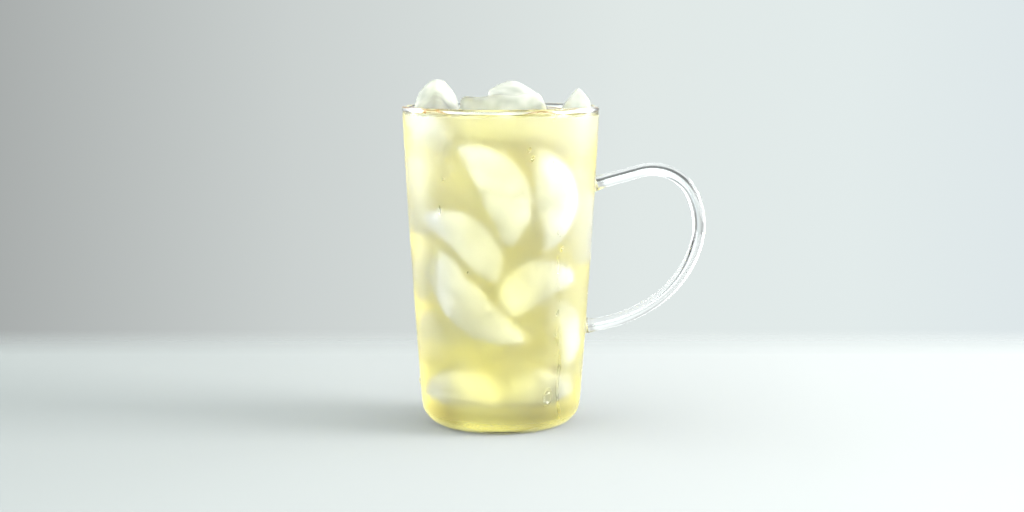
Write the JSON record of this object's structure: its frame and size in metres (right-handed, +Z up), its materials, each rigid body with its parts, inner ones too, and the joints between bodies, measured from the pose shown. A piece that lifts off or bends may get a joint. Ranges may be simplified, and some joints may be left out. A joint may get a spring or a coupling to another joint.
{
  "type": "glass mug of iced tea",
  "caption": "Tall clear glass mug with a round rod handle, full of pale yellow-green iced tea with half-moon ice standing out of it.",
  "frame": {"origin": "centre of the flat foot, on the surface it stands on", "axes": "+Z up along the cup's axis, +X towards the handle, so the handle lies in the XZ plane"},
  "size_m": [0.1232, 0.08, 0.1405],
  "materials": {
    "glass": "clear borosilicate glass, fogged and beaded with condensation outside",
    "tea": "clear pale yellow-green tea",
    "ice": "melting ice, smooth and milky inside"
  },
  "bodies": {
    "root": {"glass": "glass", "tea": "tea", "ice_left": "ice", "ice_middle": "ice", "ice_back": "ice", "ice_right": "ice"}
  },
  "joints": []
}
